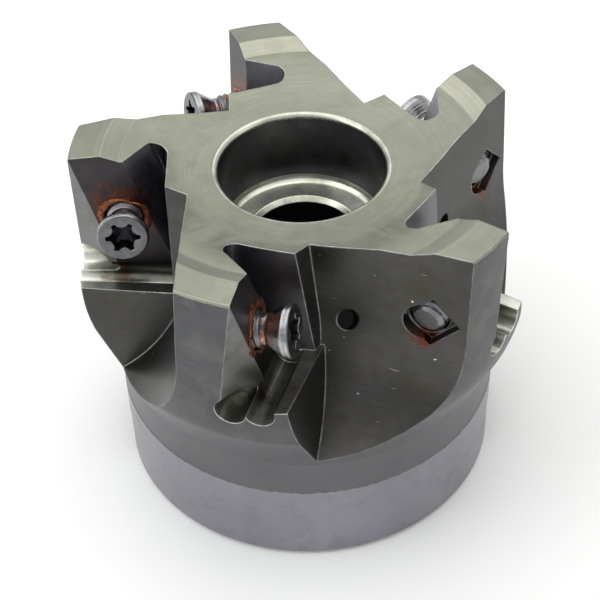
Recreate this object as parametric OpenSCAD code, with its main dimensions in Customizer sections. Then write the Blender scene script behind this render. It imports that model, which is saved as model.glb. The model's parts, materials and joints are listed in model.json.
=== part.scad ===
/*
  Shell-type shoulder milling cutter, right-hand, five indexable teeth.
  The body stands on its arbor seat with the cutting end up. Each tooth has an insert seat
  with its clamping screw in place. Origin: centre of the arbor seat face, +Z towards the cut.
  Every tooth is built in its own frame: X points out along the radius through the tooth's
  corner, Y points the way the tooth travels, and Z is the cutter's axis.
*/

/* [Cutter body] */
// Height of the body over the tooth tips
body_h = 39.8; // [39:0.1:41]
// Radius of the tooth tips
tip_r = 23.9; // [23.7:0.1:24.1]
// Largest radius of the body, at the foot of the insert pockets
body_r = 24.25; // [24.15:0.05:24.7]
// Radius of the ground hub ring
hub_r = 21.05; // [20.5:0.05:21.5]
// Height of the ground hub ring
hub_h = 10.4; // [9:0.1:12]
// Height at which the hub starts to flare out to the body
flare_z = 15.4; // [14.6:0.1:15.9]
// Number of teeth
teeth = 5; // [5:5]
// Direction of the first tooth's corner about the axis
first_tooth_az = 181; // [0:1:359]

/* [Arbor interface] */
// Diameter of the arbor bore
arbor_d = 22; // [20:0.1:24]
// Depth of the arbor bore
arbor_depth = 19; // [17:0.1:20]
// Width of the driving key slots
key_w = 10.4; // [9:0.1:12]
// Depth of the driving key slots
key_depth = 6.3; // [5:0.1:7]
// Diameter of the retaining screw's clearance hole
bolt_d = 11; // [10.5:0.1:12]
// Diameter of the counterbore for the retaining screw's head
counterbore_d = 17.4; // [17:0.1:18]
// Height of the ledge that the retaining screw's head clamps on
ledge_z = 28.7; // [26:0.1:30]

/* [Insert pockets] */
// Forward lean of the insert seat along the axis, in degrees
seat_axial = 7.5; // [6:0.5:9]
// Inward lean of the insert seat, in degrees
seat_radial = 3; // [2:0.5:4]
// Radius of the pocket's back wall, which the insert's long side leans on
wall_r = 13.9; // [13.6:0.1:14.2]
// Height of the pocket floor in the seat's corner, below the tooth tip
floor_drop = 14.1; // [13.6:0.1:14.6]
// Lean of the pocket floor down towards the axis, in degrees
floor_lean = 5; // [3:0.5:6]
// Lead of the step that ends the back wall over the tooth's X axis, at the tooth tip
step_y = 3.35; // [3.2:0.05:3.6]

/* [Chip gullets] */
// Distance from the axis to the flank of the next tooth, at the tooth tip
flank_x = 12.05; // [11.9:0.05:12.4]
// Turn of the flank away from the tooth's direction of travel, in degrees
flank_turn = 2.3; // [1.5:0.1:3]
// Radius of the flank's run-out into the body
runout_r = 17; // [16:0.2:18]
// Lean of the gullet's lower front wall, in degrees
lower_lean = 8.7; // [8:0.1:10]
// Lead of the lower front wall over the tooth's X axis, at the pocket floor
lower_y = 5.85; // [5.7:0.05:6.1]

/* [Insert screws] */
// Diameter of the screw head
head_d = 5.35; // [5.2:0.05:5.8]
// Thickness of the head's rim
head_rim = 0.8; // [0.6:0.05:1.1]
// Diameter of the thread
thread_d = 3.95; // [3.9:0.01:4]
// Length of the screw over all
screw_len = 11.5; // [11:0.1:12]
// Diameter of the tapped hole in the tooth
tapped_d = 4.1; // [4.05:0.01:4.2]
// Height of the head's face above the seat
head_stand = 3.75; // [3.5:0.05:4]
// Distance of the screw's axis inside the tooth tip
screw_in = 5.05; // [4.85:0.05:5.3]
// Depth of the screw's axis below the tooth tip
screw_down = 7.65; // [7.3:0.05:7.9]
// Upward lean of the screw's axis from the seat's normal, in degrees
screw_lean = 0.5; // [0:0.5:2]
// How far the fifth screw has been backed out beyond the others
backed_out = 2.1; // [0:0.1:3]
// Width of the six-lobed driver recess over its lobes
torx_d = 3.5; // [3.3:0.1:3.7]
// Depth of the driver recess
torx_depth = 1.6; // [1.2:0.1:1.8]

/* [Coolant] */
// Diameter of the coolant holes
coolant_d = 2.1; // [1.5:0.1:2.5]

/* [Hidden] */
$fn = 96;
eps = 0.01;
big = 40;              // reach of the cutting tools, clear of the body all round
tooth_pitch = 360 / teeth;
corner_y = 0.4;        // lead of the tooth corner over the tooth's own X axis
tip_edge = 0.2;        // chamfer round the tooth tips
land_z = body_h - 0.1; // height of the outer end of the tooth land
crest_r = 20.6;        // inner edge of the raised land
groove_r = 18.7;       // foot of the raised land
dish_r = 16.4;         // top of the dished cone
flat_r = 12.2;         // edge of the flat zone round the counterbore
groove_z = body_h - 0.8;
dish_z = body_h - 0.9;
flat_z = body_h - 2.1;
mouth_round = 0.5;     // chamfer at the counterbore's mouth
seat_chamfer = 0.6;    // chamfer under the hub
bore_chamfer = 0.6;    // chamfer at the arbor bore's mouth
bore_groove_h = 2;     // height of the relief groove at the arbor bore's end
bore_groove = 0.3;     // depth of that groove
bolt_chamfer = 0.5;    // chamfer at both ends of the retaining screw's hole
neck_round = 0.6;      // height of the corner that leads from the neck into the flare
neck_step = 0.1;       // how far the flare's foot stands proud of the ring
ring_step = 0.06;      // the ground ring stands this proud of the turned neck
shoulder_z = 21.2;     // top of the flare's cone
shoulder_r = 23.6;     // radius at the top of the flare's cone
blend_z = 25.7;        // height at which the flare has met the body's side
blend_steps = 6;
runout_z = 30.5;       // height of the run-out arc's centre
flank_lean = 3.3;      // lean of the straight part of the flank
flank_y = 17;          // where the turned flank keeps its distance from the axis
lower_turn = 2.5;      // turn of the gullet's lower front wall from the tooth's X axis
lip_rise = 0.6;        // height of the gullet's lip over the pocket floor
notch_depth = 3.2;     // depth of the corner notch behind the seat
notch_r = 1.3;         // radius at the bottom of the notch
step_turn = 16;        // turn of the step's face from the tooth's X axis
relief_r = 1.6;        // radius of the reliefs milled along the pocket floor
relief_side = 4.1;     // side of the square relief round the screw hole's exit
exit_d = 4.3;          // diameter of the hole's relieved exit
head_cone = 60;        // included angle of the screw head's seat
neck_d = 3.3;          // diameter of the plain neck under the head
neck_h = 0.5;
coolant_y = 8.4;       // where the coolant hole leaves the flank
coolant_z = 29.5;
coolant_rise = 46;     // angle between the coolant hole and the cutter's axis
coolant_turn = 18;     // turn of the coolant hole from the tooth's X axis
hole_reach = 20;       // reach of the drills that make the screw holes
corner_trail = 1;      // angle by which the tooth's X axis trails the tooth's direction
screw_out = [0, 0, 0, 0, backed_out];

// Turns a block whose XY plane is the insert seat, with the tooth corner at its origin
module on_seat() {
    translate([tip_r, corner_y, body_h]) rotate([seat_axial, 0, seat_radial]) children();
}

// A block that fills the space on the +X side of a plane through a point
module beyond(point, lean, turn) {
    translate(point) rotate([0, lean, turn]) translate([0, -big, -big]) cube([2 * big, 2 * big, 2 * big]);
}

// Outline of the turned body, hub below and dished cutting face above
function blend_point(i) = let (a = i / blend_steps)
    [shoulder_r + (body_r - shoulder_r) * (2 * a - a * a), shoulder_z + (blend_z - shoulder_z) * a];

module body_outline() {
    polygon(concat(
        [[0, 0], [hub_r - seat_chamfer, 0], [hub_r, seat_chamfer], [hub_r, hub_h],
         [hub_r - ring_step, hub_h + ring_step], [hub_r - ring_step, flare_z - neck_round],
         [hub_r + neck_step, flare_z]],
        [for (i = [0 : blend_steps]) blend_point(i)],
        [[tip_r, land_z - tip_edge], [tip_r - tip_edge, land_z], [crest_r, body_h],
         [groove_r, groove_z], [dish_r, dish_z], [flat_r, flat_z], [0, flat_z]]));
}

// Everything turned on the axis: arbor bore, web hole and counterbore
module axis_bores() {
    translate([0, 0, -eps]) cylinder(d = arbor_d, h = arbor_depth + eps);
    translate([0, 0, -eps])
        cylinder(d1 = arbor_d + 2 * bore_chamfer, d2 = arbor_d, h = bore_chamfer + eps);
    translate([0, 0, arbor_depth - bore_groove_h])
        cylinder(d = arbor_d + 2 * bore_groove, h = bore_groove_h);
    cylinder(d = bolt_d, h = body_h);
    translate([0, 0, ledge_z - bolt_chamfer])
        cylinder(d1 = bolt_d, d2 = bolt_d + 2 * bolt_chamfer, h = bolt_chamfer + eps);
    translate([0, 0, arbor_depth - eps])
        cylinder(d1 = bolt_d + 2 * bolt_chamfer, d2 = bolt_d, h = bolt_chamfer);
    rotate_extrude() counterbore_outline();
}

// Counterbore with a rounded corner at its foot and a rounded mouth
module counterbore_outline() {
    r = counterbore_d / 2;
    foot = 0.9;
    polygon(concat(
        [[0, ledge_z], [r - foot, ledge_z]],
        [for (i = [1 : 5]) [r - foot + foot * sin(18 * i), ledge_z + foot - foot * cos(18 * i)]],
        [for (i = [0 : 5]) [r + mouth_round * (1 - cos(18 * i)), flat_z - mouth_round * (1 - sin(18 * i))]],
        [[r + mouth_round, body_h], [0, body_h]]));
}

// The key slots cross the seat face from side to side
module key_slots() {
    translate([-big, -key_w / 2, -eps]) cube([2 * big, key_w, key_depth + eps]);
}

// Space swept by the flank cutter: a flat flank with a round run-out at its foot
module flank_sweep() {
    runout_x = flank_x + (body_h - runout_z) * tan(flank_lean) + runout_r;
    translate([0, flank_y, 0]) rotate([0, 0, -flank_turn]) {
        translate([runout_x, -big, runout_z]) rotate([-90, 0, 0])
            cylinder(r = runout_r, h = 2 * big, $fn = 180);
        intersection() {
            beyond([flank_x, 0, body_h], -flank_lean, 0);
            translate([0, -big, runout_z]) cube([big, 2 * big, big]);
        }
    }
}

// Everything in front of a wall through a point, leaning forward towards its foot
module in_front_of(point, lean, turn) {
    translate(point) rotate([lean, 0, turn]) translate([-big, 0, -big]) cube([2 * big, 2 * big, 2 * big]);
}

// Front limit of the gullet: the step that ends the back wall above, a leaning wall below
module gullet_front() {
    intersection() {
        in_front_of([wall_r, step_y, body_h], seat_axial, -step_turn);
        union() {
            pocket_above_floor();
            in_front_of([wall_r, lower_y, body_h - floor_drop + lip_rise], lower_lean, -lower_turn);
        }
    }
}

// The insert's pocket: seat, back wall and floor
module insert_pocket() {
    reach = 8;
    intersection() {
        on_seat() translate([-big, 0, -big]) cube([2 * big, reach, 2 * big]);
        translate([wall_r, -big, 0]) cube([big, 2 * big, big + body_h]);
        pocket_above_floor();
    }
}

// Half-space over the pocket floor
module pocket_above_floor() {
    translate([tip_r, 0, body_h - floor_drop]) rotate([seat_axial, -floor_lean, seat_radial])
        translate([-big, -big, 0]) cube([2 * big, 2 * big, 2 * big]);
}

// Slanted relief on the tooth's outer leading edge, beside the seat
module leading_facet() {
    facet_turn = 52.8;
    facet_lean = 4.9;
    back = 4;
    front = 5;
    intersection() {
        beyond([tip_r, corner_y, body_h], facet_lean, facet_turn);
        translate([wall_r, -back, 0]) cube([big, back + front, big + body_h]);
        pocket_above_floor();
    }
}

// Notch behind the seat that frees the insert's inner corner; it dies out downwards.
// Its slanted side runs from the seat into the round bottom without a step
module corner_notch() {
    edge = [18.4, 0.2];
    edge_z = body_h - 0.8;
    notch_lean = -19;
    reach = 6;
    tall = big + body_h;
    centre = [wall_r + notch_r, notch_r - notch_depth];
    span = edge - centre;
    notch_turn = 180 + atan2(span[1], span[0]) - acos(notch_r / norm(span));
    intersection() {
        beyond([edge[0], edge[1], edge_z], notch_lean, notch_turn);
        translate([wall_r, -big, 0]) cube([big, 2 * big, tall]);
        translate([centre[0], centre[1], 0]) union() {
            cylinder(r = notch_r, h = tall);
            translate([-notch_r, 0, 0]) cube([notch_r, reach, tall]);
            rotate([0, 0, notch_turn]) translate([-notch_r, -reach, 0]) cube([reach, reach, tall]);
        }
        pocket_above_floor();
    }
}

// Round-bottomed reliefs along the foot of the facet and of the seat
module floor_reliefs() {
    floor_z = body_h - floor_drop;
    facet_start = [20.6, -0.3, floor_z - 0.1];
    seat_start = [wall_r + 0.2, 2.7, floor_z - 0.7];
    reach = 14;
    translate(facet_start) rotate([0, 90, 0]) cylinder(r = relief_r, h = reach, $fn = 48);
    translate(facet_start) sphere(r = relief_r, $fn = 48);
    translate(seat_start) rotate([0, 90 - floor_lean, 0]) cylinder(r = relief_r - 0.1, h = reach, $fn = 48);
}

// Puts the screw's frame, +Z out of the tooth, at the centre of the head's face
module at_screw() {
    on_seat() translate([-screw_in, head_stand, -screw_down]) rotate([screw_lean - 90, 0, 0]) children();
}

// Tapped hole through the tooth with its relieved, square-cornered exit
module screw_hole() {
    at_screw() translate([0, 0, -hole_reach]) cylinder(d = tapped_d, h = hole_reach);
}

module screw_exit() {
    past_tip = 0.2;
    at_screw() translate([0, 0, -hole_reach])
        cylinder(d = exit_d, h = hole_reach - screw_len + past_tip, $fn = 64);
}

// Square relief on the flank round the exit, seen from the pocket behind the tooth
module exit_relief() {
    relief_y = 16.8;
    relief_z = 31.2;
    depth = 0.9;
    reach = 4;
    translate([flank_x - depth + (body_h - relief_z) * tan(flank_lean), relief_y, relief_z])
        rotate([45, 0, 0]) translate([0, -relief_side / 2, -relief_side / 2])
            cube([reach, relief_side, relief_side]);
}

// Coolant hole from under the web to the flank, rising outwards
module coolant_hole() {
    inner_reach = 17;
    outer_reach = 3;
    off_flank = 0.5;
    translate([flank_x + off_flank, coolant_y, coolant_z]) rotate([0, coolant_rise, coolant_turn])
        translate([0, 0, -inner_reach]) cylinder(d = coolant_d, h = inner_reach + outer_reach, $fn = 48);
}

module tooth_cuts() {
    intersection() {
        flank_sweep();
        gullet_front();
    }
    insert_pocket();
    leading_facet();
    corner_notch();
    floor_reliefs();
    screw_hole();
    screw_exit();
    exit_relief();
    coolant_hole();
}

// Repeats its children at one tooth's place
module at_tooth(i) {
    rotate([0, 0, first_tooth_az - corner_trail + tooth_pitch * (i - 1)]) children();
}

module cutter_body() {
    color("#8f9088") difference() {
        rotate_extrude($fn = 180) body_outline();
        axis_bores();
        key_slots();
        for (i = [1 : teeth]) at_tooth(i) tooth_cuts();
    }
}

// Six-lobed driver recess
module driver_recess() {
    flute_r = 0.75;
    flute_off = 0.2;
    translate([0, 0, -torx_depth]) difference() {
        cylinder(d = torx_d, h = torx_depth + eps, $fn = 48);
        for (a = [30 : 60 : 330]) rotate([0, 0, a]) translate([torx_d / 2 + flute_off, 0, -eps])
            cylinder(r = flute_r, h = torx_depth + 3 * eps, $fn = 24);
    }
}

// Countersunk insert screw; its head's face lies at z = 0 and its thread runs down
module insert_screw(i) {
    cone_h = (head_d - neck_d) / 2 / tan(head_cone / 2);
    neck_z = -head_rim - cone_h;
    edge = 0.15;
    tip_chamfer = 0.5;
    thread_start = neck_z - neck_h - 0.3;
    color("#77787c") at_tooth(i) at_screw() translate([0, 0, screw_out[i - 1]]) difference() {
        rotate_extrude($fn = 64) polygon([
            [0, 0], [head_d / 2 - edge, 0], [head_d / 2, -edge], [head_d / 2, -head_rim],
            [neck_d / 2, neck_z], [neck_d / 2, neck_z - neck_h],
            [thread_d / 2, thread_start], [thread_d / 2, tip_chamfer - screw_len],
            [thread_d / 2 - tip_chamfer, -screw_len], [0, -screw_len]]);
        driver_recess();
    }
}

cutter_body();
insert_screw(1);  // insert_screw_1
insert_screw(2);  // insert_screw_2
insert_screw(3);  // insert_screw_3
insert_screw(4);  // insert_screw_4
insert_screw(5);  // insert_screw_5
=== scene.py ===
"""Looks of the indexable face mill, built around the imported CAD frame.

Lengths are in metres, unless a comment or docstring says millimetres.
"""

import json
import math

import bmesh
import bpy
from mathutils import Matrix, Vector
from mathutils import noise as mnoise


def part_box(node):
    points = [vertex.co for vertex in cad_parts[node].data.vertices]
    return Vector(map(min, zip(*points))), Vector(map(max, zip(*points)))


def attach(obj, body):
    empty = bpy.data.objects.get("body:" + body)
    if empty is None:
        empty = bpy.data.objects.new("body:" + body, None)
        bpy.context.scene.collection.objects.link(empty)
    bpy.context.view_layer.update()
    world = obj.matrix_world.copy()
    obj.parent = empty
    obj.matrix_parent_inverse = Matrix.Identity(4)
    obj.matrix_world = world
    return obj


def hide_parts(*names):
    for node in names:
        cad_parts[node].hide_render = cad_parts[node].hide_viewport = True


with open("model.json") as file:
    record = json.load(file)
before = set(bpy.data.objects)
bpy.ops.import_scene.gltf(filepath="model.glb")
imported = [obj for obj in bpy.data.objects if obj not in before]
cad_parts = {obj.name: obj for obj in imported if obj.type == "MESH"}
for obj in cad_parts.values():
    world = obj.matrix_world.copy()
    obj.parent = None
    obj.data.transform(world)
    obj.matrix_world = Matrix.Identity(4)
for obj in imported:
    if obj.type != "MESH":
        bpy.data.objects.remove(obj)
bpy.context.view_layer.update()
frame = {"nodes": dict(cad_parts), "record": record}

MM = 0.001
TEETH = 5
PITCH = 2 * math.pi / TEETH
RECORD = frame["record"]
MOUNTS = {m["name"]: m for m in RECORD["mounts"]}
JOINTS = {j["child"]: j for j in RECORD["behaviour"]["joints"]}
TOP_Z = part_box("cutter_body")[1].z
SEAT = MOUNTS["insert_seat_1"]["pos_m"]
SEAT_AZ = math.atan2(SEAT[1], SEAT[0])
RING_POINTS = 96


# ---------------------------------------------------------------- camera and stage

def add_camera():
    """The photograph's view: a long lens, 43 degrees above the horizon, rolled a little."""
    elevation, roll, distance = math.radians(43.02), math.radians(1.78), 164.3 * MM
    target = Vector((0, 0, 0.524 * TOP_Z))
    back = Vector((0, -math.cos(elevation), math.sin(elevation)))
    right = Vector((1, 0, 0))
    up = back.cross(right)
    axis_r = math.cos(roll) * right - math.sin(roll) * up
    axis_u = math.sin(roll) * right + math.cos(roll) * up
    data = bpy.data.cameras.new("camera")
    data.lens = 89.1
    data.sensor_width = 36
    data.shift_x, data.shift_y = -0.00926, -0.02545
    data.clip_start, data.clip_end = 0.01, 10
    cam = bpy.data.objects.new("camera", data)
    rot = Matrix((axis_r, axis_u, back)).transposed()
    cam.matrix_world = Matrix.Translation(target + back * distance) @ rot.to_4x4()
    bpy.context.scene.collection.objects.link(cam)
    bpy.context.scene.camera = cam


def add_area(name, place, aim, size, watts, colour):
    """A rectangular softbox, turned to face the aim."""
    data = bpy.data.lights.new(name, "AREA")
    data.shape = "RECTANGLE"
    data.size, data.size_y = size
    data.energy = watts
    data.color = colour
    light = bpy.data.objects.new(name, data)
    place, aim = Vector(place), Vector(aim)
    light.location = place
    light.rotation_euler = (place - aim).to_track_quat("Z", "Y").to_euler()
    bpy.context.scene.collection.objects.link(light)


def add_lights():
    """A wide softbox overhead, a smaller one on each side, and a pale sky, brighter overhead."""
    aim = (0, 0, 0.02)
    add_area("top_softbox", (-0.10, 0.15, 0.60), aim, (1.0, 0.9), 2.6, (1.0, 1.0, 0.96))
    add_area("left_softbox", (-0.50, -0.15, 0.30), aim, (0.35, 0.5), 0.9, (0.95, 0.96, 1.0))
    add_area("right_softbox", (0.45, -0.10, 0.25), aim, (0.2, 0.4), 0.15, (1.0, 0.98, 0.95))
    world = bpy.data.worlds.new("studio")
    world.use_nodes = True
    nt = world.node_tree
    back = nt.nodes["Background"]
    coord = nt.nodes.new("ShaderNodeTexCoord")
    sep = nt.nodes.new("ShaderNodeSeparateXYZ")
    ramp = nt.nodes.new("ShaderNodeValToRGB")
    nt.links.new(coord.outputs["Generated"], sep.inputs[0])
    nt.links.new(sep.outputs["Z"], ramp.inputs[0])
    nt.links.new(ramp.outputs[0], back.inputs["Color"])
    horizon, sky = ramp.color_ramp.elements
    horizon.position = 0.0
    horizon.color = (0.60, 0.60, 0.64, 1)
    sky.position = 0.8
    sky.color = (0.85, 0.86, 0.84, 1)
    back.inputs["Strength"].default_value = 1.0
    bpy.context.scene.world = world


def add_floor():
    """White paper under the part; it is clear from below, so that the underside can be looked at."""
    half, gap = 3.0, 0.02 * MM
    mesh = bpy.data.meshes.new("floor")
    corners = [(-half, -half, 0), (half, -half, 0), (half, half, 0), (-half, half, 0)]
    mesh.from_pydata(corners, [], [(0, 1, 2, 3)])
    floor = bpy.data.objects.new("floor", mesh)
    bpy.context.scene.collection.objects.link(floor)
    mat = bpy.data.materials.new("floor_paper")
    mat.use_nodes = True
    nt = mat.node_tree
    paper = nt.nodes["Principled BSDF"]
    paper.inputs["Base Color"].default_value = (0.92, 0.92, 0.92, 1)
    paper.inputs["Roughness"].default_value = 0.9
    side = nt.nodes.new("ShaderNodeNewGeometry")
    clear = nt.nodes.new("ShaderNodeBsdfTransparent")
    pick = nt.nodes.new("ShaderNodeMixShader")
    nt.links.new(side.outputs["Backfacing"], pick.inputs[0])
    nt.links.new(paper.outputs[0], pick.inputs[1])
    nt.links.new(clear.outputs[0], pick.inputs[2])
    nt.links.new(pick.outputs[0], nt.nodes["Material Output"].inputs["Surface"])
    mesh.materials.append(mat)
    floor.location.z = -gap


# ---------------------------------------------------------------- node helpers

class Nodes:
    """Short ways to add shader nodes to one material."""

    def __init__(self, mat):
        self.nt = mat.node_tree
        self.shader = self.nt.nodes["Principled BSDF"]

    def put(self, kind, **settings):
        n = self.nt.nodes.new(kind)
        for k, v in settings.items():
            setattr(n, k, v)
        return n

    def feed(self, socket, value):
        """Links a socket to another one, or sets it to a plain value."""
        if isinstance(value, bpy.types.NodeSocket):
            self.nt.links.new(value, socket)
        else:
            socket.default_value = value

    def math(self, op, a, b=0.0):
        n = self.put("ShaderNodeMath", operation=op)
        self.feed(n.inputs[0], a)
        self.feed(n.inputs[1], b)
        return n.outputs[0]

    def plus(self, a, b):
        return self.math("ADD", a, b)

    def times(self, a, b):
        return self.math("MULTIPLY", a, b)

    def wrap(self, value, hi, lo):
        n = self.put("ShaderNodeMath", operation="WRAP")
        for socket, v in zip(n.inputs, (value, hi, lo)):
            self.feed(socket, v)
        return n.outputs[0]

    def radius(self, x, y):
        """The distance from the Z axis."""
        return self.math("SQRT", self.plus(self.times(x, x), self.times(y, y)))

    def noise(self, vector, scale, detail, rough=0.5):
        n = self.put("ShaderNodeTexNoise", noise_dimensions="3D")
        self.feed(n.inputs["Vector"], vector)
        self.feed(n.inputs["Scale"], scale)
        self.feed(n.inputs["Detail"], detail)
        self.feed(n.inputs["Roughness"], rough)
        return n.outputs["Fac"]

    def remap(self, value, lo, hi, to_lo=0.0, to_hi=1.0):
        """Stretches lo..hi over to_lo..to_hi and holds the ends."""
        n = self.put("ShaderNodeMapRange", clamp=True)
        for socket, v in zip(n.inputs, (value, lo, hi, to_lo, to_hi)):
            self.feed(socket, v)
        return n.outputs[0]

    def mix(self, factor, a, b):
        """Blends two colours; sockets 6, 7 and 2 are the Mix node's colour ones."""
        n = self.put("ShaderNodeMix", data_type="RGBA")
        self.feed(n.inputs[0], factor)
        self.feed(n.inputs[6], a)
        self.feed(n.inputs[7], b)
        return n.outputs[2]

    def vector(self, x, y, z):
        n = self.put("ShaderNodeCombineXYZ")
        for socket, v in zip(n.inputs, (x, y, z)):
            self.feed(socket, v)
        return n.outputs[0]

    def bump(self, height, distance, strength=1.0, normal=None):
        n = self.put("ShaderNodeBump")
        self.feed(n.inputs["Height"], height)
        self.feed(n.inputs["Distance"], distance)
        self.feed(n.inputs["Strength"], strength)
        if normal is not None:
            self.feed(n.inputs["Normal"], normal)
        return n.outputs[0]

    def place_mm(self):
        """The surface point in its object's frame, in millimetres, and its three coordinates."""
        coord = self.put("ShaderNodeTexCoord")
        scale = self.put("ShaderNodeVectorMath", operation="SCALE")
        self.feed(scale.inputs[0], coord.outputs["Object"])
        self.feed(scale.inputs["Scale"], 1 / MM)
        sep = self.put("ShaderNodeSeparateXYZ")
        self.feed(sep.inputs[0], scale.outputs[0])
        return scale.outputs[0], sep.outputs[0], sep.outputs[1], sep.outputs[2]

    def tooth_place(self, x, y):
        """The same point folded into the first tooth's sector: out through the screw hole, and round."""
        turn = self.math("SUBTRACT", self.math("ARCTAN2", y, x), SEAT_AZ)
        turn = self.wrap(turn, PITCH / 2, -PITCH / 2)
        radius = self.radius(x, y)
        return self.times(radius, self.math("COSINE", turn)), self.times(radius, self.math("SINE", turn))

    def near(self, point, centre, reach):
        """One at the centre, falling to zero at the reach."""
        total = 0.0
        for value, middle in zip(point, centre):
            off = self.math("SUBTRACT", value, middle)
            total = self.plus(total, self.times(off, off))
        return self.remap(self.math("SQRT", total), reach, 0.0)


def new_material(name, roughness, metallic, colour):
    mat = bpy.data.materials.new(name)
    mat.use_nodes = True
    n = Nodes(mat)
    n.shader.inputs["Metallic"].default_value = metallic
    n.shader.inputs["Roughness"].default_value = roughness
    n.shader.inputs["Base Color"].default_value = (*colour, 1)
    mat.diffuse_color = (*colour, 1)
    return mat, n


# ---------------------------------------------------------------- steel materials

EDGE_BREAK = 0.20 * MM
MILLED_EDGE_BREAK = 0.30 * MM
GRAIN_DEPTH, GRAIN_STRENGTH = 0.0025 * MM, 0.6
ROUGH_SPREAD = 0.08
# Pale grey of the painted highlight along edges.
EDGE_HIGHLIGHT = (0.62, 0.62, 0.60, 1)
SPECK = (0.62, 0.60, 0.56, 1)
COPPER_DARK, COPPER_LIGHT = (0.12, 0.032, 0.016, 1), (0.50, 0.19, 0.085, 1)

# How often each tool's marks repeat: per radian round the axis, per millimetre outwards and upwards.
RING_MARKS = {
    "turned": {"round": 1.6, "up": 9.0, "detail": 3.0},
    "ground": {"round": 5.0, "up": 26.0, "detail": 4.0},
}
FACED_MARKS = {"out": 7.0, "round": 0.8, "detail": 3.0}
# Milled marks run level, and vary slowly along a slant through X and Y.
MILLED_MARKS = {"x": 0.6, "y": 0.5, "along": 0.25, "up": 5.5, "detail": 3.0}

# Smears of paste on a tooth, from the seat's centre in millimetres (out, round, up): place, reach, strength.
STAINS = (
    ((0.0, 0.0, 0.9), 5.2, 1.0),     # round the mouth of the screw hole
    ((0.0, -7.9, -2.9), 2.2, 1.0),   # on the lower lip of its exit
    ((1.5, 1.0, -6.8), 3.0, 0.72),   # on the pocket floor below it
)


def tool_lines(n, marks, x, y, z):
    """Streaks that follow the way the tool ran."""
    angle = n.math("ARCTAN2", y, x)
    if marks in RING_MARKS:
        rate = RING_MARKS[marks]
        place = n.vector(n.times(angle, rate["round"]), 0.0, n.times(z, rate["up"]))
    elif marks == "faced":
        rate = FACED_MARKS
        place = n.vector(n.times(n.radius(x, y), rate["out"]), n.times(angle, rate["round"]), 0.0)
    else:
        rate = MILLED_MARKS
        slant = n.plus(n.times(x, rate["x"]), n.times(y, rate["y"]))
        place = n.vector(n.times(slant, rate["along"]), 0.0, n.times(z, rate["up"]))
    return n.noise(place, 1.0, rate["detail"])


def speck_mask(n, p, x, y, z):
    """Small bright dots, and here and there a short level scratch at half their strength."""
    dots = n.remap(n.noise(p, 1.7, 1.0), 0.80, 0.82)
    drawn_out = n.vector(n.times(x, 0.5), n.times(y, 0.5), n.times(z, 7.0))
    scratch = n.remap(n.noise(drawn_out, 1.0, 1.0), 0.775, 0.80)
    here_and_there = n.remap(n.noise(p, 0.5, 0.0), 0.55, 0.6)
    return n.math("MAXIMUM", dots, n.times(n.times(scratch, here_and_there), 0.5))


def edge_normal_and_painted_highlight(n, p, edge_break):
    """The normal of rounded edges, and a patchy mask along them for a painted highlight."""
    rounded = n.put("ShaderNodeBevel", samples=8)
    rounded.inputs["Radius"].default_value = edge_break
    flat = n.put("ShaderNodeNewGeometry")
    agree = n.put("ShaderNodeVectorMath", operation="DOT_PRODUCT")
    n.feed(agree.inputs[0], rounded.outputs[0])
    n.feed(agree.inputs[1], flat.outputs["Normal"])
    edge = n.remap(agree.outputs["Value"], 0.99, 0.88)
    patchy = n.remap(n.noise(p, 0.9, 3.0), 0.36, 0.62, 0.25, 1.0)
    return rounded.outputs[0], n.times(edge, patchy)


def stain_mask(n, p, x, y, z):
    """Ragged smears of paste at the places in STAINS, on every tooth."""
    seat_out, seat_z = math.hypot(*SEAT[:2]) / MM, SEAT[2] / MM
    out, along = n.tooth_place(x, y)
    cover = 0.0
    for (off_out, off_along, off_up), reach, strength in STAINS:
        spot = n.near((out, along, z), (seat_out + off_out, off_along, seat_z + off_up), reach)
        cover = n.math("MAXIMUM", n.times(spot, strength), cover)
    ragged = n.noise(p, 0.85, 4.0, 0.6)
    stain = n.remap(n.plus(ragged, n.times(cover, 0.72)), 0.66, 1.02, 0.0, 0.9)
    return n.times(stain, n.remap(cover, 0.02, 0.2))


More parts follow.
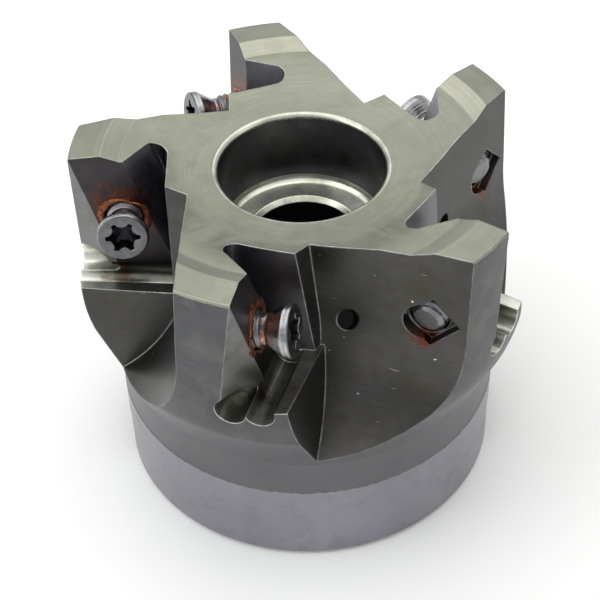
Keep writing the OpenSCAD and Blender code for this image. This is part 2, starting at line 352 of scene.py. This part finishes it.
def steel(name, light, dark, rough, marks, mark_depth=0.004, specks=0.0, stains=False,
          tarnish=(0.15, 0.15, 0.14), edge_gain=0.5, edge_break=EDGE_BREAK, outer_painted_light=None):
    """Machined steel. marks says how the tool ran: turned, faced, ground or milled.

    mark_depth is in millimetres. The outer light argument is a colour of painted light that it turns to at
    the outside of the body.
    """
    mat, n = new_material(name, rough, 1.0, light)
    p, x, y, z = n.place_mm()
    lines = tool_lines(n, marks, x, y, z)
    clouds = n.noise(p, 0.16, 3.0)
    grain = n.noise(p, 14.0, 3.0, 0.6)
    line_share = 0.22 if marks == "milled" else 0.45
    tone = n.plus(n.times(clouds, 1 - line_share), n.times(lines, line_share))
    colour = n.mix(n.remap(tone, 0.36, 0.64), (*dark, 1), (*light, 1))
    tarnished = n.remap(n.noise(p, 0.33, 4.0, 0.6), 0.46, 0.68, 0.0, 0.6)
    colour = n.mix(tarnished, colour, (*tarnish, 1))
    # Painted light: the colour turns lighter towards the outside of the body.
    if outer_painted_light:
        colour = n.mix(n.remap(n.radius(x, y), 20.5, 23.8), colour, (*outer_painted_light, 1))
    if specks:
        colour = n.mix(n.times(speck_mask(n, p, x, y, z), specks), colour, SPECK)
    rounded, edge_highlight = edge_normal_and_painted_highlight(n, p, edge_break)
    # Painted highlight: edges are lightened in patches towards a pale grey.
    colour = n.mix(n.times(edge_highlight, edge_gain), colour, EDGE_HIGHLIGHT)
    if stains:
        copper = n.mix(n.remap(n.noise(p, 4.0, 3.0), 0.58, 0.74), COPPER_DARK, COPPER_LIGHT)
        colour = n.mix(stain_mask(n, p, x, y, z), colour, copper)
    n.feed(n.shader.inputs["Base Color"], colour)
    shade = n.plus(n.times(clouds, 0.5), n.times(grain, 0.5))
    roughness = n.remap(shade, 0.3, 0.7, rough - ROUGH_SPREAD, rough + ROUGH_SPREAD)
    n.feed(n.shader.inputs["Roughness"], roughness)
    fine = n.bump(grain, GRAIN_DEPTH, GRAIN_STRENGTH, rounded)
    n.feed(n.shader.inputs["Normal"], n.bump(lines, mark_depth * MM, 1.0, fine))
    return mat


def body_materials():
    """One steel for each zone of the cutter body: light and dark tone, roughness, then the tool's marks.
    Several zones are copies of one steel, some with painted light and some with painted shade.
    """
    olive = (0.10, 0.095, 0.07)
    return {
        "faced": steel("steel_faced", (0.29, 0.295, 0.245), (0.22, 0.225, 0.185), 0.38, "faced", 0.006,
                       tarnish=(0.20, 0.205, 0.16), edge_gain=1.0),
        # Painted light: a lighter copy of the faced steel on the faces sloping inwards at the top edge.
        "crest": steel("steel_crest_painted_light", (0.40, 0.405, 0.335), (0.31, 0.315, 0.26), 0.40, "faced", 0.006,
                       tarnish=(0.28, 0.285, 0.23)),
        # Painted highlight on the counterbore's rounded mouth, and painted light on its ledge against the
        # shade inside.
        "mouth": steel("steel_mouth_painted_highlight", (0.62, 0.62, 0.54), (0.50, 0.50, 0.43), 0.28, "faced", 0.002),
        "ledge": steel("steel_ledge_painted_light", (0.90, 0.91, 0.77), (0.74, 0.75, 0.63), 0.30, "faced", 0.006),
        # Lit and shaded copies of one turned steel: painted light on the neck, painted shade on the outer
        # side above it.
        "neck": steel("steel_neck_painted_light", (0.165, 0.165, 0.178), (0.125, 0.125, 0.135), 0.40, "turned"),
        "turned": steel("steel_turned_painted_shade", (0.112, 0.112, 0.118), (0.080, 0.080, 0.084), 0.40, "turned",
                        edge_gain=0.6),
        "ground": steel("steel_ground", (0.31, 0.305, 0.335), (0.25, 0.245, 0.275), 0.32, "ground", 0.002,
                        tarnish=(0.22, 0.21, 0.25), edge_gain=0.8),
        # Painted shade: a much darker copy of the steel on the gullet walls.
        "milled": steel("steel_milled_painted_shade", (0.090, 0.088, 0.087), (0.060, 0.059, 0.055), 0.36, "milled",
                        specks=1.0, stains=True, tarnish=(0.058, 0.056, 0.038), edge_gain=0.3,
                        edge_break=MILLED_EDGE_BREAK),
        "facet": steel("steel_facet", (0.20, 0.20, 0.20), (0.15, 0.15, 0.15), 0.36, "milled", tarnish=olive),
        # Painted light: pale copies on the pocket's grooves and floor against their shade, the grooves
        # lighter still outwards.
        "relief": steel("steel_relief_painted_light", (0.34, 0.345, 0.31), (0.18, 0.183, 0.16), 0.30, "milled",
                        stains=True, tarnish=olive, outer_painted_light=(0.74, 0.75, 0.68)),
        "floor": steel("steel_floor_painted_light", (0.62, 0.64, 0.58), (0.40, 0.41, 0.36), 0.30, "milled",
                       stains=True, tarnish=(0.25, 0.25, 0.21), edge_gain=0.9),
        # Painted shade: the darkest copy of the steel, on the insert's seat face.
        "seat": steel("steel_seat_painted_shade", (0.062, 0.058, 0.062), (0.040, 0.037, 0.039), 0.34, "milled",
                      stains=True, tarnish=(0.042, 0.032, 0.036), edge_gain=0.4),
        "pocket": steel("steel_pocket", (0.215, 0.21, 0.228), (0.145, 0.142, 0.154), 0.36, "milled",
                        stains=True, tarnish=(0.11, 0.10, 0.12), edge_gain=0.22),
        # Painted shade inside the bore.
        "bore": steel("steel_bored_painted_shade", (0.12, 0.118, 0.14), (0.09, 0.089, 0.105), 0.30, "ground", 0.002),
    }


# ---------------------------------------------------------------- cutter body

# Limits between the zones: radii and heights, a little outside or inside the surfaces they tell apart.
HUB_R = 21.05 * MM
RING_INNER, RING_TOP = HUB_R - 0.1 * MM, 10.43 * MM
SIDE_INNER = HUB_R - 0.3 * MM
NECK_TOP = 21.1 * MM
SEAT_FACE_TOP = 0.7 * MM
MOUTH_R = MOUNTS["retaining_screw_counterbore"]["dims"]["r_mm"] * MM
MOUTH_INNER, MOUTH_OUTER = MOUTH_R - 0.05 * MM, MOUTH_R + 0.6 * MM
MOUTH_FOOT = 0.5 * TOP_Z
BORE_OUTER, BORE_TOP = MOUNTS["arbor_bore"]["dims"]["r_mm"] * MM + 0.8 * MM, 0.52 * TOP_Z
FACE_FOOT = TOP_Z - 2.3 * MM
CREST_FOOT = TOP_Z - 0.9 * MM

# The insert pocket: out through the seat's centre, and round from it.
POCKET_IN, POCKET_OUT = 13.2 * MM, 24.5 * MM
POCKET_BACK, FLOOR_FRONT, WALL_FRONT = -5.0 * MM, 9.0 * MM, 3.6 * MM
FLOOR_Z, FLOOR_SPAN = TOP_Z - 14.1 * MM, 1.8 * MM
WALL_FOOT = 23 * MM
RELIEF_TOP = TOP_Z - 12.2 * MM
FACET_IN = 20.5 * MM

MERGE_GAP = 0.003 * MM
FLAT_ANGLE = math.radians(0.5)
CREASE_ANGLE = math.radians(16)


def zone_of(face):
    """The zone of a face of the body, from where its corners lie and which way it looks."""
    radii = [math.hypot(v.co.x, v.co.y) for v in face.verts]
    heights = [v.co.z for v in face.verts]
    r_min, r_max, z_min, z_max = min(radii), max(radii), min(heights), max(heights)
    centre, normal = face.calc_center_median(), face.normal
    out = (centre.x * normal.x + centre.y * normal.y) / max(math.hypot(centre.x, centre.y), 1e-6)
    if r_max < MOUTH_OUTER and z_min > MOUTH_FOOT:
        if r_min > MOUTH_INNER and normal.z > 0.1:
            return "mouth"
        return "ledge" if normal.z > 0.3 else "bore"
    if r_max < BORE_OUTER and z_max < BORE_TOP:
        return "bore"
    if z_min > FACE_FOOT and normal.z > 0.5:
        return "crest" if z_min > CREST_FOOT and normal.z < 0.96 and out < 0 else "faced"
    if z_max < SEAT_FACE_TOP or (r_min > RING_INNER and z_max < RING_TOP):
        return "ground"
    if r_min > SIDE_INNER and out > 0.72:
        return "turned" if z_min > NECK_TOP else "neck"
    return pocket_zone(centre, normal)


def pocket_zone(centre, normal):
    """Tells the insert pocket's faces from the chip gullet's, in whichever tooth."""
    turn = math.atan2(centre.y, centre.x) - SEAT_AZ
    turn -= PITCH * round(turn / PITCH)
    r = math.hypot(centre.x, centre.y)
    out, along = r * math.cos(turn), r * math.sin(turn)
    on_floor = POCKET_BACK < along < FLOOR_FRONT and abs(centre.z - FLOOR_Z) < FLOOR_SPAN
    if normal.z > 0.9 and out > POCKET_IN and on_floor:
        return "floor"
    if not (POCKET_IN < out < POCKET_OUT and POCKET_BACK < along < WALL_FRONT and centre.z > WALL_FOOT):
        return "milled"
    if centre.z < RELIEF_TOP:
        return "relief"
    outward = (centre.x * normal.x + centre.y * normal.y) / r
    if out > FACET_IN and outward > 0.35:
        return "facet"
    forward = (centre.x * normal.y - centre.y * normal.x) / r
    return "seat" if forward > 0.8 else "pocket"


def add_body():
    """The cutter body's own surface, cleaned, with a steel for each zone, standing for the CAD node."""
    mesh = bpy.data.meshes.new("cutter_body_finished")
    bm = bmesh.new()
    bm.from_mesh(frame["nodes"]["cutter_body"].data)
    bmesh.ops.remove_doubles(bm, verts=bm.verts, dist=MERGE_GAP)
    bmesh.ops.dissolve_degenerate(bm, edges=bm.edges, dist=MERGE_GAP)
    bmesh.ops.dissolve_limit(
        bm, angle_limit=FLAT_ANGLE, use_dissolve_boundaries=False, verts=bm.verts, edges=bm.edges)
    mats = body_materials()
    order = list(mats)
    for mat in mats.values():
        mesh.materials.append(mat)
    bm.normal_update()
    for f in bm.faces:
        f.material_index = order.index(zone_of(f))
        f.smooth = True
    for e in bm.edges:
        e.smooth = not (e.is_manifold and e.calc_face_angle() > CREASE_ANGLE)
    bm.to_mesh(mesh)
    bm.free()
    body = bpy.data.objects.new("cutter_body_finished", mesh)
    bpy.context.scene.collection.objects.link(body)
    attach(body, "cutter")
    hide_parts("cutter_body")


# ---------------------------------------------------------------- insert screws

# Millimetres. The head's face is at height 0 and the tip at -length.
SCREW = {"length": 11.5, "head_r": 2.675, "rim": 0.8, "neck_r": 1.65, "cone": 1.775, "neck": 0.5,
         "thread_r": 1.975, "thread_depth": 0.42, "pitch": 0.7, "lobe_r": 1.75, "recess": 1.6,
         "drill_r": 0.7, "drill_edge": 0.35, "drill_tip": 0.6}
NECK_STEP = 0.05
SHARP_ANGLE = math.radians(38)


def lobe_radius(angle):
    """Outline of the six-lobed recess: a circle with six round ribs standing into it."""
    rib_at, rib_r, half_lobe = SCREW["lobe_r"] + 0.2, 0.75, 30
    off = (math.degrees(angle) + half_lobe) % (2 * half_lobe) - half_lobe
    off = math.radians(half_lobe - abs(off))
    sine = rib_at * math.sin(off)
    if sine >= rib_r:
        return SCREW["lobe_r"]
    return min(SCREW["lobe_r"], rib_at * math.cos(off) - math.sqrt(rib_r ** 2 - sine ** 2))


def thread_radius(z, angle, start, end):
    """A thread with narrow flats on crest and root, whose crests fade into the root at both ends."""
    run_in, run_out = 0.4, 0.7
    steepness, crest_flat = 1.25, 0.1
    turns = z / SCREW["pitch"] - angle / (2 * math.pi)
    flank = abs((turns % 1.0) - 0.5) * 2
    depth = min(max(flank * steepness - crest_flat, 0.0), 1.0)
    fade = min(max((end - z) / run_out, 0.0), 1.0, max((z - start) / run_in, 0.0))
    return SCREW["thread_r"] - SCREW["thread_depth"] * (depth if fade >= 1 else 1 - (1 - depth) * fade)


def ring(r, z):
    """A round row of points."""
    return [(r, z)] * RING_POINTS


def thread_rows(angles, end):
    """The flat tip and the thread up to its end, held inside a cone where it begins."""
    length, steps = SCREW["length"], 150
    tip_rings, blunt_r, blunt_slope = (0.55, 1.15), 1.35, 1.1
    rows = [ring(r, -length) for r in tip_rings]
    for k in range(steps + 1):
        z = -length + (end - NECK_STEP + length) * k / steps
        blunt = blunt_r + (z + length) * blunt_slope
        rows.append([(min(blunt, thread_radius(z, a, -length, end)), z) for a in angles])
    return rows


def cone_rows(neck_end, neck_top):
    """The plain neck and the head's cone, with shallow turning grooves."""
    neck_r, head_r, steps = SCREW["neck_r"], SCREW["head_r"], 26
    coarse, coarse_rate, fine, fine_rate = 0.010, 47, 0.006, 131
    rows = [ring(neck_r, neck_end + NECK_STEP), ring(neck_r, neck_top - 2 * NECK_STEP)]
    for k in range(steps + 1):
        t = k / steps
        groove = coarse * (0.5 + 0.5 * math.sin(coarse_rate * t)) + fine * math.sin(fine_rate * t)
        r = neck_r + (head_r - neck_r) * t - groove * (0 < k < steps)
        rows.append(ring(r, neck_top + SCREW["cone"] * t))
    return rows


def face_rows(angles):
    """The rim with its groove, the rounded edge, and the face as far as the recess."""
    head_r, rim, edge = SCREW["head_r"], SCREW["rim"], 0.15
    groove_z, groove_r, floor_half, mouth_half = -0.50 * rim, head_r - 0.05, 0.03, 0.07
    face_r = head_r - 1.6 * edge
    # The recess's 45 degree chamfer starts this far out and down, and ends with the two swapped.
    out, down = 0.09, 0.02
    rows = [ring(r, z) for r, z in (
        (head_r, -rim + 0.05), (head_r, groove_z - mouth_half), (groove_r, groove_z - floor_half),
        (groove_r, groove_z + floor_half), (head_r, groove_z + mouth_half), (head_r, -edge),
        (head_r - 0.4 * edge, -0.4 * edge), (head_r - edge, -0.005), (face_r, 0))]
    for t in (0.35, 0.7, 1.0):
        rows.append([(face_r + (lobe_radius(a) + out - face_r) * t, -down * t) for a in angles])
    rows.append([(lobe_radius(a) + down, -out) for a in angles])
    return rows


def recess_rows(angles):
    """The recess, narrowing a little downwards, and the edge of the drill point under it."""
    depth, draft = SCREW["recess"], 0.03
    rows = [[(lobe_radius(a) * (1 - draft * t), -depth * t) for a in angles] for t in (0.15, 0.5, 0.85, 1.0)]
    return rows + [ring(SCREW["drill_r"], -depth - SCREW["drill_edge"])]


def screw_rows(angles):
    """Rings from the tip to the bottom of the recess: (kind of surface, list of (radius, height))."""
    neck_top = -SCREW["rim"] - SCREW["cone"]
    neck_end = neck_top - SCREW["neck"]
    rows = [("thread", row) for row in thread_rows(angles, neck_end)]
    rows += [("steel", row) for row in cone_rows(neck_end, neck_top) + face_rows(angles)]
    return rows + [("recess", row) for row in recess_rows(angles)]


def across(axis):
    """Two directions square to an axis and to each other, the first one level."""
    side = Vector((0, 0, 1)).cross(axis).normalized()
    return side, axis.cross(side)


def facing(centre, axis):
    """The frame at a centre whose Z runs along the axis."""
    side, other = across(axis)
    return Matrix.Translation(centre) @ Matrix((side, other, axis)).transposed().to_4x4()


def screw_place(node, axis):
    """The frame at the centre of the head's face, with Z out along the screw."""
    rim_depth = 0.05 * MM
    points = [v.co for v in frame["nodes"][node].data.vertices]
    top = max(p.dot(axis) for p in points)
    side, other = across(axis)
    rim = [p for p in points if p.dot(axis) > top - rim_depth]
    mid = [0.5 * (min(p.dot(d) for p in rim) + max(p.dot(d) for p in rim)) for d in (side, other)]
    return facing(side * mid[0] + other * mid[1] + axis * top, axis)


def copper_mask(n, p, more):
    """Ragged patches of copper paste; more shifts how much of the surface they cover."""
    apart = 400.0
    info = n.put("ShaderNodeObjectInfo")
    shift = n.put("ShaderNodeVectorMath", operation="SCALE")
    n.feed(shift.inputs[0], info.outputs["Location"])
    shift.inputs["Scale"].default_value = apart
    moved = n.put("ShaderNodeVectorMath", operation="ADD")
    n.feed(moved.inputs[0], p)
    n.feed(moved.inputs[1], shift.outputs[0])
    ragged = n.noise(moved.outputs[0], 1.2, 5.0, 0.62)
    return n.remap(n.plus(ragged, more), 0.62, 0.72)


def screw_steel():
    """Turned steel of the head and neck; the side is lighter as a painted highlight and the head's face
    darker as painted shade, and paste covers the neck.
    """
    mat, n = new_material("screw_steel", 0.24, 1.0, (0.42, 0.42, 0.44))
    p, x, y, z = n.place_mm()
    rings = n.noise(n.vector(n.times(n.radius(x, y), 9.0), 0.0, n.times(z, 13.0)), 1.0, 3.0)
    worn = n.noise(p, 0.9, 4.0, 0.6)
    tone = n.remap(n.plus(n.times(rings, 0.6), n.times(worn, 0.4)), 0.36, 0.62)
    # Painted highlight on the side and painted shade on the face: lit and shaded copies of one steel.
    side = n.mix(tone, (0.16, 0.16, 0.17, 1), (0.55, 0.55, 0.565, 1))
    face = n.mix(tone, (0.065, 0.065, 0.072, 1), (0.20, 0.20, 0.21, 1))
    colour = n.mix(n.remap(z, -0.14, -0.04), side, face)
    tint = copper_mask(n, p, n.remap(z, -3.5, -1.7, 0.26, -0.14))
    n.feed(n.shader.inputs["Base Color"], n.mix(tint, colour, (0.36, 0.105, 0.04, 1)))
    n.feed(n.shader.inputs["Roughness"], n.remap(worn, 0.3, 0.7, 0.18, 0.36))
    n.feed(n.shader.inputs["Normal"], n.bump(rings, 0.006 * MM))
    return mat


def screw_thread():
    """Steel of the thread, with paste on much of it, less close to the neck and none on the tip."""
    mat, n = new_material("screw_thread", 0.35, 1.0, (0.2, 0.2, 0.2))
    p, _, _, z = n.place_mm()
    pasted, bare_tip = n.remap(z, -4.6, -3.2, 0.20, -0.02), n.remap(z, -11.0, -10.5, 0.5, 0.0)
    tint = copper_mask(n, p, n.math("SUBTRACT", pasted, bare_tip))
    colour = n.mix(n.noise(p, 1.2, 3.0), (0.12, 0.115, 0.13, 1), (0.30, 0.295, 0.31, 1))
    n.feed(n.shader.inputs["Base Color"], n.mix(tint, colour, (0.46, 0.16, 0.06, 1)))
    n.feed(n.shader.inputs["Normal"], n.bump(n.noise(p, 7.0, 3.0), 0.01 * MM))
    return mat


def screw_recess_painted_shade():
    """The inside of the recess, coloured near black as painted shade, with paste towards its lower side."""
    mat, n = new_material("screw_recess_painted_shade", 0.5, 1.0, (0.04, 0.04, 0.045))
    p, _, y, _ = n.place_mm()
    tint = copper_mask(n, p, n.remap(y, -1.9, 0.2, 0.12, -0.3))
    colour = n.mix(n.noise(p, 2.0, 3.0), (0.025, 0.025, 0.03, 1), (0.07, 0.07, 0.08, 1))
    n.feed(n.shader.inputs["Base Color"], n.mix(tint, colour, (0.40, 0.14, 0.05, 1)))
    return mat


def add_screw(i, mats):
    """One insert screw with its thread, turned head and six-lobed recess, standing for the CAD node."""
    n = RING_POINTS
    node, body = f"insert_screw_{i}", f"screw_{i}"
    angles = [2 * math.pi * k / n for k in range(n)]
    rows = screw_rows(angles)
    order = list(mats)
    verts = [(0, 0, -SCREW["length"] * MM)]
    for _, row in rows:
        verts += [(r * math.cos(a) * MM, r * math.sin(a) * MM, z * MM) for a, (r, z) in zip(angles, row)]
    verts.append((0, 0, (-SCREW["recess"] - SCREW["drill_tip"]) * MM))
    faces = [(0, 1 + (k + 1) % n, 1 + k) for k in range(n)]
    kinds = [rows[0][0]] * n
    for j in range(len(rows) - 1):
        a, b = 1 + j * n, 1 + (j + 1) * n
        faces += [(a + k, a + (k + 1) % n, b + (k + 1) % n, b + k) for k in range(n)]
        kinds += [rows[j + 1][0]] * n
    last, end = 1 + (len(rows) - 1) * n, len(verts) - 1
    faces += [(last + k, last + (k + 1) % n, end) for k in range(n)]
    kinds += [rows[-1][0]] * n
    mesh = bpy.data.meshes.new(node + "_finished")
    mesh.from_pydata(verts, [], faces)
    for kind in order:
        mesh.materials.append(mats[kind])
    mesh.polygons.foreach_set("material_index", [order.index(k) for k in kinds])
    mesh.polygons.foreach_set("use_smooth", [True] * len(faces))
    mesh.set_sharp_from_angle(angle=SHARP_ANGLE)
    mesh.update()
    screw = bpy.data.objects.new(node + "_finished", mesh)
    bpy.context.scene.collection.objects.link(screw)
    screw.matrix_world = screw_place(node, Vector(JOINTS[body]["axis"]).normalized())
    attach(screw, body)
    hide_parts(node)


# ---------------------------------------------------------------- copper paste

PASTE_RINGS = 10
PASTE_SKIN = 0.03 * MM


def paste_material():
    """Lumpy copper paste with bright flakes, darker away from the hole."""
    mat, n = new_material("copper_paste", 0.34, 0.85, (0.4, 0.14, 0.05))
    p, x, y, _ = n.place_mm()
    lumps = n.noise(p, 2.6, 5.0, 0.6)
    flakes = n.noise(p, 9.0, 2.0)
    colour = n.mix(n.remap(lumps, 0.35, 0.65), (0.11, 0.028, 0.013, 1), (0.42, 0.13, 0.05, 1))
    colour = n.mix(n.remap(n.radius(x, y), 2.3, 3.2), colour, (0.07, 0.02, 0.012, 1))
    n.feed(n.shader.inputs["Base Color"], n.mix(n.remap(flakes, 0.62, 0.7), colour, (0.85, 0.52, 0.34, 1)))
    n.feed(n.shader.inputs["Roughness"], n.remap(lumps, 0.3, 0.7, 0.22, 0.5))
    n.feed(n.shader.inputs["Normal"], n.bump(n.plus(lumps, n.times(flakes, 0.4)), 0.08 * MM))
    return mat


def paste_point(i, t, angle):
    """A point on collar i in millimetres: t is 0 at the hole's edge and 1 at the ragged outer edge."""
    hole_r, least_width, peak = 2.12, 0.12, 0.20
    ragged_rate, lump_rate = 1.3, 1.6
    c, s = math.cos(angle), math.sin(angle)
    ragged = mnoise.noise(Vector((c * ragged_rate, s * ragged_rate, 7.3 * i)))
    upward = 0.5 + 0.5 * math.sin(angle + 0.4 * i)
    width = 0.30 + 0.45 * upward + 0.75 * ragged
    r = hole_r + max(width, least_width) * t
    crown = math.sin(math.pi * min(0.12 + 0.88 * t, 1.0)) ** 0.7 if t < 1 else 0.0
    lump = 1 + 0.7 * mnoise.noise(Vector((r * c * lump_rate, r * s * lump_rate, 3.1 * i)))
    sunk = 0.02 if t in (0, 1) else 0.0
    return r * c, r * s, peak * crown * lump * (0.4 + 0.6 * upward) - sunk


def add_paste(i, mat):
    """A lumpy collar of paste squeezed out round the mouth of the tapped hole."""
    n = RING_POINTS
    verts, faces = [], []
    for j in range(PASTE_RINGS + 1):
        for k in range(n):
            x, y, h = paste_point(i, j / PASTE_RINGS, 2 * math.pi * k / n)
            verts.append((x * MM, y * MM, h * MM))
    for j in range(PASTE_RINGS):
        a, b = j * n, (j + 1) * n
        faces += [(a + k, b + k, b + (k + 1) % n, a + (k + 1) % n) for k in range(n)]
    mesh = bpy.data.meshes.new(f"copper_paste_{i}")
    mesh.from_pydata(verts, [], faces)
    mesh.polygons.foreach_set("use_smooth", [True] * len(faces))
    mesh.materials.append(mat)
    mesh.update()
    paste = bpy.data.objects.new(f"copper_paste_{i}", mesh)
    bpy.context.scene.collection.objects.link(paste)
    seat = MOUNTS[f"insert_seat_{i}"]
    paste.matrix_world = facing(Vector(seat["pos_m"]), Vector(seat["axis"]).normalized())
    skin = paste.modifiers.new("skin", "SOLIDIFY")
    skin.thickness = PASTE_SKIN
    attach(paste, "cutter")


def add_screws_and_paste():
    mats = {"steel": screw_steel(), "thread": screw_thread(), "recess": screw_recess_painted_shade()}
    paste = paste_material()
    for i in range(1, TEETH + 1):
        add_screw(i, mats)
        add_paste(i, paste)


add_camera()
add_lights()
add_floor()
add_body()
add_screws_and_paste()
bpy.context.scene.view_settings.view_transform = "Standard"
